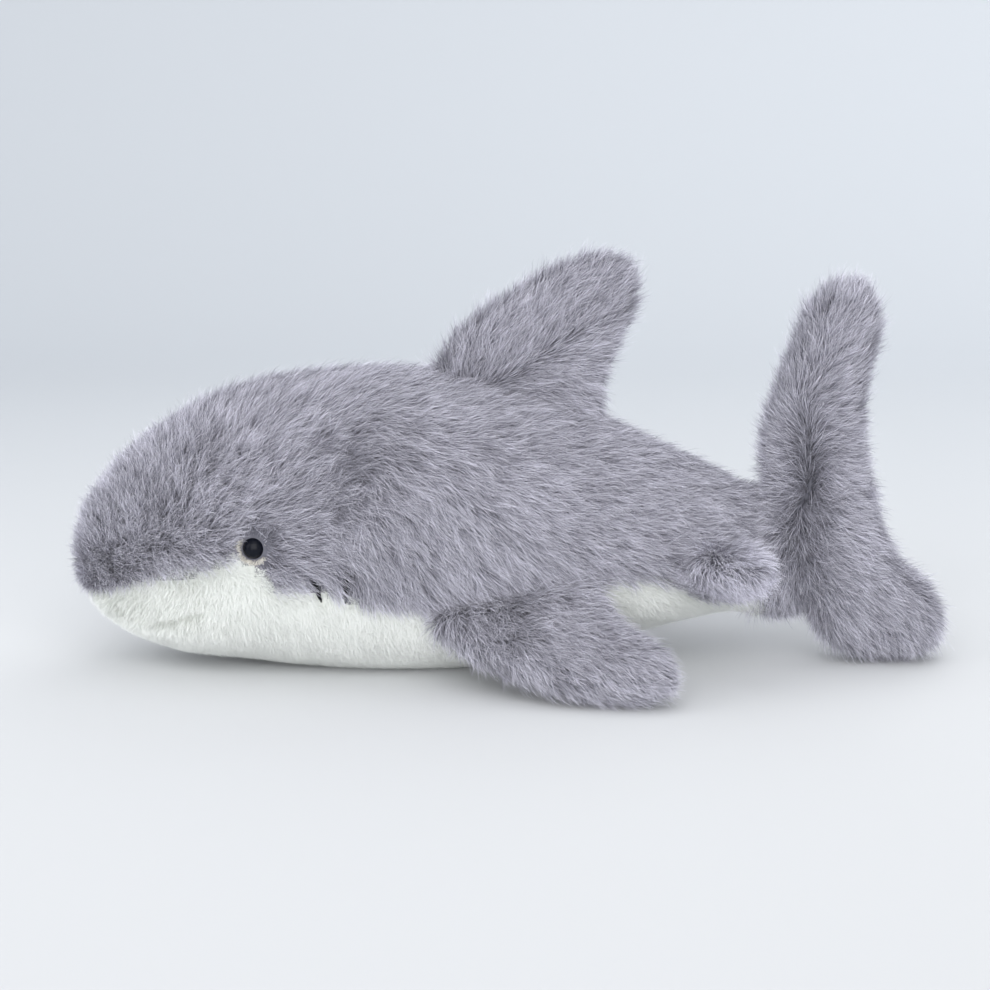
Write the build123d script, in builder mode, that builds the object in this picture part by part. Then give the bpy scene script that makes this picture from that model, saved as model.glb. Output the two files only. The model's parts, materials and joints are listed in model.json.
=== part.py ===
"""Plush shark: a sewn and stuffed shell of long-pile grey fur with a white belly. Millimetres.

+X runs from the nose to the tail, +Z is up and y = 0 is the plane of symmetry. The origin is on the
floor, on the flat patch of the belly that the shark rests on, under the front of the dorsal fin.
Every form is the fabric's own surface: the pile stands some 7 mm proud of it.

The toy bends anywhere that its fill gives way. Here it bends where such a toy bends most: at a vertical
axis in front of the tail, at another in the tail's narrow root, and along the root seam of each fin.
"""

import os
from math import sqrt

from build123d import *

# Fabric, fill and clearances
FABRIC = 2.5  # thickness of the fabric
FILL_GAP = 0.3  # between the fabric and the fill
SEAM_GAP = 0.2  # between two panels along a seam
TURN_GAP = 0.4  # between two bodies that turn on each other
REACH = 300.0  # farther than any part of the toy
CLOSE = 0.01  # two lengths nearer than this are the same

# The body and tail, as ellipses across X: x, half width, lowest z, highest z
STATIONS = [
    (-164, 9, 44, 61),
    (-160.5, 17, 35, 70.5),
    (-153, 26, 24, 83),
    (-140, 34.5, 12, 97.5),
    (-125, 41, 3.5, 108.5),
    (-107, 46, -1.5, 119),
    (-85, 50, -2.5, 128.5),
    (-58, 53, -2.5, 134.5),
    (-28, 54.5, -2.5, 137),
    (2, 54, -2, 136.5),
    (31, 51.5, 0.5, 131.5),
    (60, 46.5, 5.5, 122),
    (90, 39.5, 14, 109),
    (116, 33, 21, 97),
    (141, 26, 26, 85),
    (165, 16, 27.5, 77),
    (182, 11, 29, 75),
    (204, 6, 33, 70),
]
NOSE_X = STATIONS[0][0]
NOSE_ROUND = 4.0

# The seam between the grey back and the white belly, seen from the side: x, z
SEAM_LINE = [
    (-175, 33),
    (-157, 39.5),
    (-130, 49),
    (-100, 55),
    (-80, 60),
    (-71, 53),
    (-58, 48),
    (-36, 42),
    (0, 36),
    (45, 41),
    (85, 49),
    (108, 47),
    (124, 38),
    (150, 34),
    (172, 46),
    (215, 52),
]

# The mouth is a narrow dart in the white fabric, rising towards its corner
MOUTH_FRONT = (-150, 19)
MOUTH_CORNER = (-107, 31)
MOUTH_OPENING = 2.4

# The two vertical axes that the tail and the caudal fin turn on
TAIL_AXIS_X = 118.0
TAIL_TURN_RADIUS = 36.0
CAUDAL_AXIS_X = 178.0
CAUDAL_TURN_RADIUS = 24.0

# Each fin is a flat form with rounded sides that leave a flat rim, HALF being half its thickness and
# RIM half its flat rim. Its edge is given in its own plane: along the root, then away from it.
CORNER_ROUND = 6.0  # where the edge meets the root

# Dorsal fin
DORSAL_ROOT = Vector(4, 0, 134.8)
DORSAL_ROOT_END = Vector(77, 0, 112.8)
DORSAL_TIP = Vector(90, 0, 190)
DORSAL_HALF = 7.0
DORSAL_RIM = 2.0
DORSAL_EDGE = [
    (8.5, 27.5),
    (23.5, 47.5),
    (37.5, 62.5),
    (51, 73),
    (60.5, 76.5),
    (68.5, 73.5),
    (72, 64),
    (71, 47),
    (70, 31),
]

# Pectoral fins: the left one, which is mirrored
PECTORAL_ROOT = Vector(-5, -47.4, 34)
PECTORAL_ROOT_END = Vector(75, -41.3, 48)
PECTORAL_TIP = Vector(107, -82, 10.5)
PECTORAL_HALF = 6.5
PECTORAL_RIM = 1.0
PECTORAL_EDGE = [(15, 15), (35, 34), (60, 50), (88, 59), (104, 57), (105, 47), (95, 33), (85, 17)]

# Pelvic fins: the left one, which is mirrored
PELVIC_ROOT = Vector(122, -30.8, 58)
PELVIC_ROOT_END = Vector(148, -22.6, 56)
PELVIC_TIP = Vector(150, -46, 50)
PELVIC_HALF = 4.5
PELVIC_RIM = 0.2
PELVIC_EDGE = [(1, 10), (7, 19), (16, 24), (25, 22), (30, 14)]

# Caudal fin: a tall crescent, seen from the side: x, z
CAUDAL_HALF = 11.0
CAUDAL_RIM = 6.0
CAUDAL_EDGE = [
    (190, 177),
    (198, 178),
    (203.5, 169),
    (202, 148),
    (200, 127),
    (202, 106),
    (206.5, 82),
    (214.5, 58),
    (227, 40),
    (239, 25),
    (238, 11.5),
    (222, 7.5),
    (203, 9),
    (189, 19),
    (179, 38),
    (168, 62),
    (163, 88),
    (164, 112),
    (170, 137),
    (178.5, 160),
]

# Safety eyes
EYE_SPOT = (-79.3, 67.3)  # x, z of the eye's middle
EYE_RADIUS = 5.0
EYE_HEIGHT = 3.6
EYE_LIFT = 0.2
POST_RADIUS = 2.0
POST_LENGTH = 14.0
WASHER_RADIUS = 6.5
WASHER_THICKNESS = 2.0
WASHER_DEPTH = 3.3  # from the fabric's outer face to the washer
EYE_PLAY = 0.1

# Embroidered gill lines, each from its low end to its high end: x, z
GILL_LINES = [((-48.5, 43), (-52, 54)), ((-37.5, 43), (-36.5, 59))]
THREAD_RADIUS = 0.8
THREAD_LIFT = 0.15

# Hand stitches that close the belly after stuffing
CLOSING_FIRST_X = 44.0
CLOSING_PITCH = 5.0
CLOSING_COUNT = 8
CLOSING_LENGTH = 6.0


def body_form(inset):
    """The body and tail as one solid, inset from the fabric's outer face and flat where it rests."""
    with BuildPart() as form:
        for x, half_width, low, high in STATIONS:
            drawn_in = x * (1 + inset / NOSE_X) if x < 0 else x
            across = Plane((drawn_in, 0, (low + high) / 2), x_dir=(0, 1, 0), z_dir=(1, 0, 0))
            with BuildSketch(across):
                Ellipse(half_width - inset, (high - low) / 2 - inset)
        loft()
        fillet(form.faces().sort_by(Axis.X)[0].edges(), NOSE_ROUND)
        split(bisect_by=Plane.XY.offset(inset), keep=Keep.TOP)
    return form.part


def under_seam(lift):
    """Everything below the seam between back and belly, with the seam raised by lift."""
    with BuildPart() as region:
        with BuildSketch(Plane.XZ):
            with BuildLine():
                line = Spline([(x, z + lift) for x, z in SEAM_LINE])
                Polyline(line @ 1, (REACH, -REACH), (-REACH, -REACH), line @ 0)
            make_face()
        extrude(amount=REACH, both=True)
    return region.part


def turning_end(axis_x, radius):
    """Everything behind a vertical axis, with the rounded front end that turns on it."""
    with BuildPart() as region:
        with BuildSketch():
            with Locations((axis_x, 0)):
                Circle(radius)
            with Locations((axis_x + REACH / 2, 0)):
                Rectangle(REACH, REACH)
        extrude(amount=REACH, both=True)
    return region.part


def rod(start, end, radius):
    """A round bar from start to end."""
    with BuildPart() as bar:
        with BuildSketch(Plane(start, z_dir=end - start)):
            Circle(radius)
        extrude(amount=(end - start).length)
    return bar.part


def fin_plane(root, root_end, tip):
    """A fin's own plane: its x runs along the root and its y towards the tip."""
    along = (root_end - root).normalized()
    return Plane(root, x_dir=along, z_dir=along.cross(tip - root))


def drawn_in(points, inset):
    """The inner points of a line, each moved inwards across the line between its neighbours."""
    moved = []
    for before, point, after in zip(points, points[1:], points[2:]):
        along = (Vector(*after) - Vector(*before)).normalized()
        moved.append(Vector(*point) + Vector(along.Y, -along.X) * inset)
    return moved


def fin_form(plane, outer_edge, root_length, half, rim, inset):
    """A fin as a flat solid with rounded sides, inset from the fabric's outer face."""
    side = half - inset
    with BuildPart() as form:
        with BuildSketch(plane) as outline:
            with BuildLine():
                if root_length:
                    front, rear = Vector(inset, inset), Vector(root_length - inset, inset)
                    Spline([front, *drawn_in([(0, 0), *outer_edge, (root_length, 0)], inset), rear])
                    Line(rear, front)
                else:
                    Spline(drawn_in([outer_edge[-1], *outer_edge, outer_edge[0]], inset), periodic=True)
            make_face()
            if root_length:
                fillet(outline.vertices(), CORNER_ROUND - inset)
        extrude(amount=side, both=True)
        heights = [abs(plane.to_local_coords(edge).center().Z) for edge in form.edges()]
        side_edges = [edge for edge, height in zip(form.edges(), heights) if abs(height - side) < CLOSE]
        fillet(side_edges, side - rim)
    return form.part


def hinge_line(plane, root_length, half):
    """The two ends of a fin's hinge, one half thickness in from its root."""
    ends = Vector(0, half, 0), Vector(root_length, half, 0)
    return [plane.from_local_coords(end) for end in ends]


def root_slot(plane, root_length, half, rim):
    """The slot that a fin's root sits in, with room to turn."""
    start, end = hinge_line(plane, root_length, half)
    spare = (end - start).normalized() * half
    root_reach = half + (sqrt(2) - 1) * rim
    return rod(start - spare, end + spare, root_reach + TURN_GAP)


def cut_piece(whole, keep, drop):
    """The stretch of whole that is inside every solid of keep and outside every one of drop."""
    with BuildPart() as piece:
        add(whole)
        for region in keep:
            add(region, mode=Mode.INTERSECT)
        for region in drop:
            add(region, mode=Mode.SUBTRACT)
    return piece.part


def write(name, solid):
    """One STEP file for one node."""
    solid.label = name
    export_step(solid, f"parts/{name}.step")


def write_pair(name, left):
    """The left piece and its mirror image."""
    write(f"{name}_left", left)
    write(f"{name}_right", mirror(left, about=Plane.XZ))


def fin_panels(form, cavity, plane):
    """A fin's two panels, first the one behind its plane and then the one before it."""
    panels = []
    for side, kept in ((-1, Keep.BOTTOM), (1, Keep.TOP)):
        with BuildPart() as half_shell:
            add(form)
            add(cavity, mode=Mode.SUBTRACT)
            split(bisect_by=plane.offset(side * SEAM_GAP / 2), keep=kept)
        panels.append(half_shell.part)
    return panels


def box_between(low, high):
    """A plain box between two corners."""
    with BuildPart() as block:
        with Locations((Vector(*low) + Vector(*high)) / 2):
            Box(*(Vector(*high) - Vector(*low)))
    return block.part


os.makedirs("parts", exist_ok=True)

# ---------------------------------------------------------------- forms shared by several pieces

skin = body_form(0)
cavity = body_form(FABRIC)
fill = body_form(FABRIC + FILL_GAP)

with BuildPart() as skin_shell:
    add(skin)
    add(cavity, mode=Mode.SUBTRACT)

under = under_seam(0)
under_and_seam = under_seam(SEAM_GAP)
behind_tail_axis = turning_end(TAIL_AXIS_X, TAIL_TURN_RADIUS)
tail_room = turning_end(TAIL_AXIS_X, TAIL_TURN_RADIUS + TURN_GAP)
behind_caudal_axis = turning_end(CAUDAL_AXIS_X, CAUDAL_TURN_RADIUS)
caudal_room = turning_end(CAUDAL_AXIS_X, CAUDAL_TURN_RADIUS + TURN_GAP)
left_side = box_between((-REACH, -REACH, -REACH), (REACH, -SEAM_GAP / 2, REACH))

dorsal_plane = fin_plane(DORSAL_ROOT, DORSAL_ROOT_END, DORSAL_TIP)
dorsal_length = (DORSAL_ROOT_END - DORSAL_ROOT).length
dorsal_slot = root_slot(dorsal_plane, dorsal_length, DORSAL_HALF, DORSAL_RIM)

pectoral_plane = fin_plane(PECTORAL_ROOT, PECTORAL_ROOT_END, PECTORAL_TIP)
pectoral_length = (PECTORAL_ROOT_END - PECTORAL_ROOT).length
pectoral_slot = root_slot(pectoral_plane, pectoral_length, PECTORAL_HALF, PECTORAL_RIM)

pelvic_plane = fin_plane(PELVIC_ROOT, PELVIC_ROOT_END, PELVIC_TIP)
pelvic_length = (PELVIC_ROOT_END - PELVIC_ROOT).length
pelvic_slot = root_slot(pelvic_plane, pelvic_length, PELVIC_HALF, PELVIC_RIM)


def on_skin(x, z, lift):
    """A point over the left flank's fabric at x and z, and the way that the fabric faces there."""
    point, facing = skin.find_intersection_points(Axis((x, -REACH, z), (0, 1, 0)))[0]
    if facing.Y > 0:
        facing = -facing
    return point + facing * lift, facing


# ---------------------------------------------------------------- eyes

eye_point, eye_facing = on_skin(*EYE_SPOT, 0)
eye_plane = Plane(eye_point, z_dir=eye_facing)
dome_radius = (EYE_RADIUS**2 + EYE_HEIGHT**2) / (2 * EYE_HEIGHT)

with BuildPart() as eye:
    with Locations(eye_plane.offset(EYE_LIFT + EYE_HEIGHT - dome_radius)):
        Sphere(dome_radius)
    split(bisect_by=eye_plane.offset(EYE_LIFT), keep=Keep.TOP)
    with BuildSketch(eye_plane.offset(EYE_LIFT)):
        Circle(POST_RADIUS)
    extrude(amount=-POST_LENGTH)
write_pair("eye", eye.part)

with BuildPart() as eye_washer:
    with BuildSketch(eye_plane.offset(-WASHER_DEPTH)):
        Circle(WASHER_RADIUS)
        Circle(POST_RADIUS + EYE_PLAY, mode=Mode.SUBTRACT)
    extrude(amount=-WASHER_THICKNESS)
write_pair("eye_washer", eye_washer.part)

eye_inner_end = eye_point - eye_facing * (POST_LENGTH + FABRIC)
post_hole = rod(eye_point + eye_facing * FABRIC, eye_inner_end, POST_RADIUS + EYE_PLAY)
eye_pocket = rod(eye_point, eye_inner_end, WASHER_RADIUS + TURN_GAP)

# ---------------------------------------------------------------- body panels and fill

back_cuts = [under_and_seam, tail_room, dorsal_slot, pectoral_slot, post_hole]
write_pair("back_panel", cut_piece(skin_shell.part, [left_side], back_cuts))

with BuildPart() as mouth_dart:
    with BuildSketch(Plane.XZ):
        with BuildLine():
            Polyline(
                MOUTH_CORNER,
                (MOUTH_FRONT[0], MOUTH_FRONT[1] + MOUTH_OPENING),
                (MOUTH_FRONT[0] - MOUTH_OPENING, MOUTH_FRONT[1]),
                MOUTH_CORNER,
            )
        make_face()
    extrude(amount=REACH, both=True)

pectoral_slots = [pectoral_slot, mirror(pectoral_slot, about=Plane.XZ)]
write("belly_panel", cut_piece(skin_shell.part, [under], [tail_room, mouth_dart.part, *pectoral_slots]))

eye_pockets = [eye_pocket, mirror(eye_pocket, about=Plane.XZ)]
write("body_stuffing", cut_piece(fill, [], [tail_room, dorsal_slot, *pectoral_slots, *eye_pockets]))

# ---------------------------------------------------------------- embroidery and hand stitches


def thread_on_skin(low_end, high_end):
    """A thread laid on the left flank between two places."""
    low, high = Vector(*low_end), Vector(*high_end)
    places = [low, (low + high) / 2, high]
    points = [on_skin(place.X, place.Y, THREAD_RADIUS + THREAD_LIFT)[0] for place in places]
    with BuildPart() as thread:
        with BuildLine() as path:
            Spline(points)
        with BuildSketch(Plane(path.line @ 0, z_dir=path.line % 0)):
            Circle(THREAD_RADIUS)
        sweep()
    return thread.part


gill_stitches = Compound(children=[thread_on_skin(*ends) for ends in GILL_LINES])
write_pair("gill_stitches", gill_stitches)

closing = []
for number in range(CLOSING_COUNT):
    stitch_x = CLOSING_FIRST_X + number * CLOSING_PITCH
    under_belly = min(p.Z for p, _ in skin.find_intersection_points(Axis((stitch_x, 0, -REACH), (0, 0, 1))))
    middle = Vector(stitch_x, 0, under_belly - THREAD_RADIUS - THREAD_LIFT)
    reach = Vector(0, CLOSING_LENGTH / 2, 0)
    closing.append(rod(middle - reach, middle + reach, THREAD_RADIUS))
write("closing_stitches", Compound(children=closing))

# ---------------------------------------------------------------- tail

pelvic_slots = [pelvic_slot, mirror(pelvic_slot, about=Plane.XZ)]
tail_keep = [behind_tail_axis, left_side]
write_pair("tail_panel", cut_piece(skin_shell.part, tail_keep, [under_and_seam, caudal_room, pelvic_slot]))
write("tail_belly_panel", cut_piece(skin_shell.part, [behind_tail_axis, under], [caudal_room, *pelvic_slots]))
write("tail_stuffing", cut_piece(fill, [behind_tail_axis], [caudal_room, *pelvic_slots]))

# ---------------------------------------------------------------- fins


def three_forms(plane, edge, root_length, half, rim):
    """A fin's outer form, the cavity in its fabric and the fill in that cavity."""
    return [fin_form(plane, edge, root_length, half, rim, inset) for inset in (0, FABRIC, FABRIC + FILL_GAP)]


dorsal_outer, dorsal_cavity, dorsal_fill = three_forms(
    dorsal_plane, DORSAL_EDGE, dorsal_length, DORSAL_HALF, DORSAL_RIM
)
right_panel, left_panel = fin_panels(dorsal_outer, dorsal_cavity, dorsal_plane)
write("dorsal_fin_panel_left", left_panel)
write("dorsal_fin_panel_right", right_panel)
write("dorsal_fin_stuffing", dorsal_fill)

for name, plane, edge, length, half, rim in (
    ("pectoral_fin", pectoral_plane, PECTORAL_EDGE, pectoral_length, PECTORAL_HALF, PECTORAL_RIM),
    ("pelvic_fin", pelvic_plane, PELVIC_EDGE, pelvic_length, PELVIC_HALF, PELVIC_RIM),
):
    outer, inner, fin_fill = three_forms(plane, edge, length, half, rim)
    top_panel, bottom_panel = fin_panels(outer, inner, plane)
    write_pair(f"{name}_top_panel", top_panel)
    write_pair(f"{name}_bottom_panel", bottom_panel)
    write_pair(f"{name}_stuffing", fin_fill)

caudal_forms = []
for blade, stem in zip(three_forms(Plane.XZ, CAUDAL_EDGE, 0, CAUDAL_HALF, CAUDAL_RIM), (skin, cavity, fill)):
    with BuildPart() as joined:
        add(stem)
        add(behind_caudal_axis, mode=Mode.INTERSECT)
        add(blade)
    caudal_forms.append(joined.part)
caudal_outer, caudal_cavity, caudal_fill = caudal_forms
right_panel, left_panel = fin_panels(caudal_outer, caudal_cavity, Plane.XZ)
write("caudal_fin_panel_left", left_panel)
write("caudal_fin_panel_right", right_panel)
write("caudal_fin_stuffing", caudal_fill)

# ---------------------------------------------------------------- hinge lines

for name, plane, length, half in (
    ("dorsal fin", dorsal_plane, dorsal_length, DORSAL_HALF),
    ("left pectoral fin", pectoral_plane, pectoral_length, PECTORAL_HALF),
    ("left pelvic fin", pelvic_plane, pelvic_length, PELVIC_HALF),
):
    start, end = hinge_line(plane, length, half)
    print(f"{name}: hinge through {start} along {(end - start).normalized()}")
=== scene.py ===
"""A plush shark in long grey pile with a white belly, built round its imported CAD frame.

Metres. The nose points to -X, the tail to +X, and the shark's left side faces -Y.

The fabric is built first: a trunk that is projected from the CAD panels, and fins that are remeshed
from theirs and puffed by a cloth simulation. Strands are then grown on it as tapered ribbons, combed
by a flow field for each part. Colours of the strands are a function of their map coordinates, where u is
the strand's tone and v runs from its root to its tip, so one bake holds them all.
"""

import json
import math

import bpy
import numpy as np
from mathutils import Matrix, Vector
from mathutils.bvhtree import BVHTree
from mathutils.kdtree import KDTree


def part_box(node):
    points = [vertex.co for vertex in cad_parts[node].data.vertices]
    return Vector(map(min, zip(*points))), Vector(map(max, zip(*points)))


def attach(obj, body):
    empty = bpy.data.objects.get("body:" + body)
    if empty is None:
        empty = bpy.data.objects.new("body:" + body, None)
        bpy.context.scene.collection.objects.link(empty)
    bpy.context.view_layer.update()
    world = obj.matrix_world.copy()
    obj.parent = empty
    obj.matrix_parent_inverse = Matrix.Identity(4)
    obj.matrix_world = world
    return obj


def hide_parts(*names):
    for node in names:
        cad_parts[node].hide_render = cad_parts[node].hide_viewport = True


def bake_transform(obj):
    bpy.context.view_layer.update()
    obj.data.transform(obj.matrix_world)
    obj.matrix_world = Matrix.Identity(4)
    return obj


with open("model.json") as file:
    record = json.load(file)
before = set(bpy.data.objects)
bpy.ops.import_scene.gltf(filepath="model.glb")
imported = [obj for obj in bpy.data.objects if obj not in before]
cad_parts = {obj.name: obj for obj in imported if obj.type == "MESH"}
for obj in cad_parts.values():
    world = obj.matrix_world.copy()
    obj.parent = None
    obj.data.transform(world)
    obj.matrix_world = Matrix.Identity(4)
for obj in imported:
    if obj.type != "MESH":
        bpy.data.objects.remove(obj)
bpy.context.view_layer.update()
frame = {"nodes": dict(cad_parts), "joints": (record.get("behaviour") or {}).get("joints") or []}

MM = 0.001
UV_NAME = "OFBake"
FLOOR_CLEAR = 0.3 * MM
SEAM_WHITE = ("belly_panel", "tail_belly_panel")
SEAM_GREY = ("back_panel_left", "back_panel_right", "tail_panel_left", "tail_panel_right")


# ---------------------------------------------------------------- small helpers


def unit(vectors):
    """Each row at length 1."""
    return vectors / np.maximum(np.linalg.norm(vectors, axis=-1, keepdims=True), 1e-12)


def dot(a, b):
    """Row by row dot product, as a column."""
    return np.sum(a * b, axis=-1, keepdims=True)


def smooth(low, high, value):
    """0 below low, 1 above high and smooth between them."""
    t = np.clip((value - low) / (high - low), 0, 1)
    return t * t * (3 - 2 * t)


def lattice_noise(points, cell, seed, channels=1):
    """Smooth noise between -1 and 1 that changes over about one cell."""
    size = 24
    table = np.random.default_rng(seed).uniform(-1, 1, (size, size, size, channels))
    scaled = points / cell
    corner = np.floor(scaled).astype(int)
    part = scaled - corner
    part = part * part * (3 - 2 * part)
    total = np.zeros((len(points), channels))
    for dx in (0, 1):
        for dy in (0, 1):
            for dz in (0, 1):
                weight = np.prod(np.where([dx, dy, dz], part, 1 - part), axis=1)
                at = (corner + [dx, dy, dz]) % size
                total += weight[:, None] * table[at[:, 0], at[:, 1], at[:, 2]]
    return total


def node_mesh(names):
    """The vertices and faces of some CAD nodes, as one list of each."""
    verts, faces, first = [], [], 0
    for name in names:
        data = frame["nodes"][name].data
        verts += [v.co.copy() for v in data.vertices]
        faces += [[first + i for i in p.vertices] for p in data.polygons]
        first = len(verts)
    return verts, faces


def node_tree(names):
    """A tree of some CAD nodes' faces, for rays and nearest points."""
    verts, faces = node_mesh(names)
    return BVHTree.FromPolygons(verts, faces)


def new_object(name, verts, faces):
    """A mesh object in the scene."""
    data = bpy.data.meshes.new(name)
    data.from_pydata(verts, [], faces)
    data.update()
    made = bpy.data.objects.new(name, data)
    bpy.context.scene.collection.objects.link(made)
    data.shade_smooth()
    return made


# ---------------------------------------------------------------- materials


def material(name):
    """A new node material: its tree and its Principled node."""
    made = bpy.data.materials.new(name)
    made.use_nodes = True
    return made, made.node_tree, made.node_tree.nodes["Principled BSDF"]


def ramp(tree, value, stops):
    """A colour ramp on value. Each stop is its place and its colour."""
    node = tree.nodes.new("ShaderNodeValToRGB")
    elements = node.color_ramp.elements
    while len(elements) < len(stops):
        elements.new(0.5)
    for element, (place, colour) in zip(elements, stops):
        element.position = place
        element.color = (*colour, 1)
    tree.links.new(value, node.inputs[0])
    return node.outputs[0]


def mixed(tree, share, first, second, kind="MIX"):
    """Two colours mixed by share, which is a socket or a number."""
    node = tree.nodes.new("ShaderNodeMix")
    node.data_type = "RGBA"
    node.blend_type = kind
    for value, socket in ((share, node.inputs[0]), (first, node.inputs[6]), (second, node.inputs[7])):
        if isinstance(value, bpy.types.NodeSocket):
            tree.links.new(value, socket)
        else:
            socket.default_value = value
    return node.outputs[2]


def pile_material(name, root, middle, tip, tone_dark, tone_light, roughness):
    """Strand colour: root to tip along v, and darker to lighter along u. The darker root end is painted shade
    that stands in for the shadow deep in the pile between strands.
    """
    made, tree, shader = material(name)
    place = tree.nodes.new("ShaderNodeUVMap")
    place.uv_map = UV_NAME
    split = tree.nodes.new("ShaderNodeSeparateXYZ")
    tree.links.new(place.outputs[0], split.inputs[0])
    # painted shade: the root colour stands in for the shadow between strands deep in the pile
    along = ramp(tree, split.outputs[1], [(0.1, root), (0.6, middle), (1, tip)])
    tone = ramp(tree, split.outputs[0], [(0, tone_dark), (0.5, (1, 1, 1)), (1, tone_light)])
    colour = mixed(tree, 1.0, along, tone, "MULTIPLY")
    tree.links.new(colour, shader.inputs["Base Color"])
    shader.inputs["Roughness"].default_value = roughness
    shader.inputs["Specular IOR Level"].default_value = 0.3
    shader.inputs["Sheen Weight"].default_value = 0.25
    shader.inputs["Sheen Roughness"].default_value = 0.5
    return made


def backing_material(name, dark, light):
    """Knitted fabric that the pile grows from: mottled, with a fine knit in its bump."""
    made, tree, shader = material(name)
    place = tree.nodes.new("ShaderNodeTexCoord")
    mottle = tree.nodes.new("ShaderNodeTexNoise")
    mottle.inputs["Scale"].default_value = 220
    mottle.inputs["Detail"].default_value = 4
    tree.links.new(place.outputs["Object"], mottle.inputs["Vector"])
    colour = ramp(tree, mottle.outputs["Fac"], [(0.3, dark), (0.7, light)])
    tree.links.new(colour, shader.inputs["Base Color"])
    knit = tree.nodes.new("ShaderNodeTexWave")
    knit.inputs["Scale"].default_value = 600
    knit.inputs["Distortion"].default_value = 2
    tree.links.new(place.outputs["Object"], knit.inputs["Vector"])
    bump = tree.nodes.new("ShaderNodeBump")
    bump.inputs["Strength"].default_value = 0.4
    bump.inputs["Distance"].default_value = 0.3 * MM
    tree.links.new(knit.outputs["Fac"], bump.inputs["Height"])
    tree.links.new(bump.outputs[0], shader.inputs["Normal"])
    shader.inputs["Roughness"].default_value = 0.95
    shader.inputs["Specular IOR Level"].default_value = 0.1
    return made


# Each pile darkens from tip to root: painted shade for the depth of the pile
GREY_PILE = pile_material(
    "grey_pile", (0.11, 0.108, 0.135), (0.44, 0.432, 0.50), (0.77, 0.76, 0.84),
    (0.38, 0.38, 0.40), (1.5, 1.5, 1.5), 0.6,
)
WHITE_PILE = pile_material(
    "white_pile", (0.87, 0.89, 0.85), (0.92, 0.94, 0.91), (0.95, 0.96, 0.94),
    (0.92, 0.92, 0.91), (1.03, 1.03, 1.03), 0.75,
)
TRIMMED_PILE = pile_material(
    "trimmed_pile", (0.45, 0.42, 0.38), (0.78, 0.75, 0.69), (0.86, 0.83, 0.78),
    (0.75, 0.75, 0.75), (1.1, 1.1, 1.1), 0.7,
)
GREY_BACKING = backing_material("grey_backing", (0.10, 0.10, 0.12), (0.17, 0.17, 0.20))
WHITE_BACKING = backing_material("white_backing", (0.82, 0.84, 0.80), (0.89, 0.91, 0.87))


# ---------------------------------------------------------------- trunk fabric

TRUNK_FILL = ("body_stuffing", "tail_stuffing")
TRUNK_NODES = SEAM_WHITE + SEAM_GREY + TRUNK_FILL + ("caudal_fin_panel_left", "caudal_fin_panel_right")
ROUND_SEGMENTS = 112
NOSE_RINGS = 22
RING_PITCH = 3 * MM
NOSE_CENTRE = 40 * MM  # from the nose to the middle of the rounded front
STEM_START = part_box("caudal_fin_panel_left")[0].x + 3 * MM  # where the tail runs into the caudal fin
TAIL_END = STEM_START - 25 * MM  # the tail's pile gets shorter behind this
PILE_END = STEM_START + 8 * MM  # and stops here, under the caudal fin's pile
STEM_LENGTH = 26 * MM
STEM_THIN = 0.68  # share of its width that the stem loses inside the fin
FAR = 0.3  # rays start this far out
TRUNK_Z = 60 * MM  # a height that is inside the trunk everywhere
OFF_SEAM = 1.1 * MM  # rays keep this far from the seam along the back
CHIN_X, CHIN_REACH = -108 * MM, 50 * MM
CHIN_LIFT, CHIN_TOP = 7 * MM, 42 * MM  # the throat clears the floor, up to this height
TAIL_SQUEEZE = 0.42  # share of its width that the tail loses before the caudal fin
EYE_DIP_X, EYE_DIP_REACH, EYE_DIP = -70 * MM, 8 * MM, 7 * MM  # grey comes down behind each eye
nose_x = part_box("back_panel_left")[0].x


def outer_hit(tree, centre, way):
    """How far out from centre the outermost surface is."""
    side = way.orthogonal().normalized() * OFF_SEAM
    found = [tree.ray_cast(centre + way * FAR + shift, -way, FAR * 1.2)[0] for shift in (side, -side)]
    return max((hit - centre).dot(way) for hit in found if hit is not None)


def closed(grid, reach_rings, reach_segments):
    """Grooves narrower than twice the reach filled in: the highest nearby, then the lowest of those."""
    for pick in (np.maximum, np.minimum):
        for axis, reach in ((0, reach_rings), (1, reach_segments)):
            result = grid.copy()
            for step in range(-reach, reach + 1):
                if axis == 1:
                    result = pick(result, np.roll(grid, step, axis=1))
                else:
                    rows = np.clip(np.arange(len(grid)) + step, 0, len(grid) - 1)
                    result = pick(result, grid[rows])
            grid = result
    return grid


def blurred(grid, times):
    """Each value averaged with its neighbours."""
    rows = np.arange(len(grid))
    before, after = np.clip(rows - 1, 0, None), np.clip(rows + 1, None, len(grid) - 1)
    for _ in range(times):
        grid = (np.roll(grid, 1, axis=1) + 2 * grid + np.roll(grid, -1, axis=1)) / 4
        grid = (grid[before] + 2 * grid + grid[after]) / 4
    return grid


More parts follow.
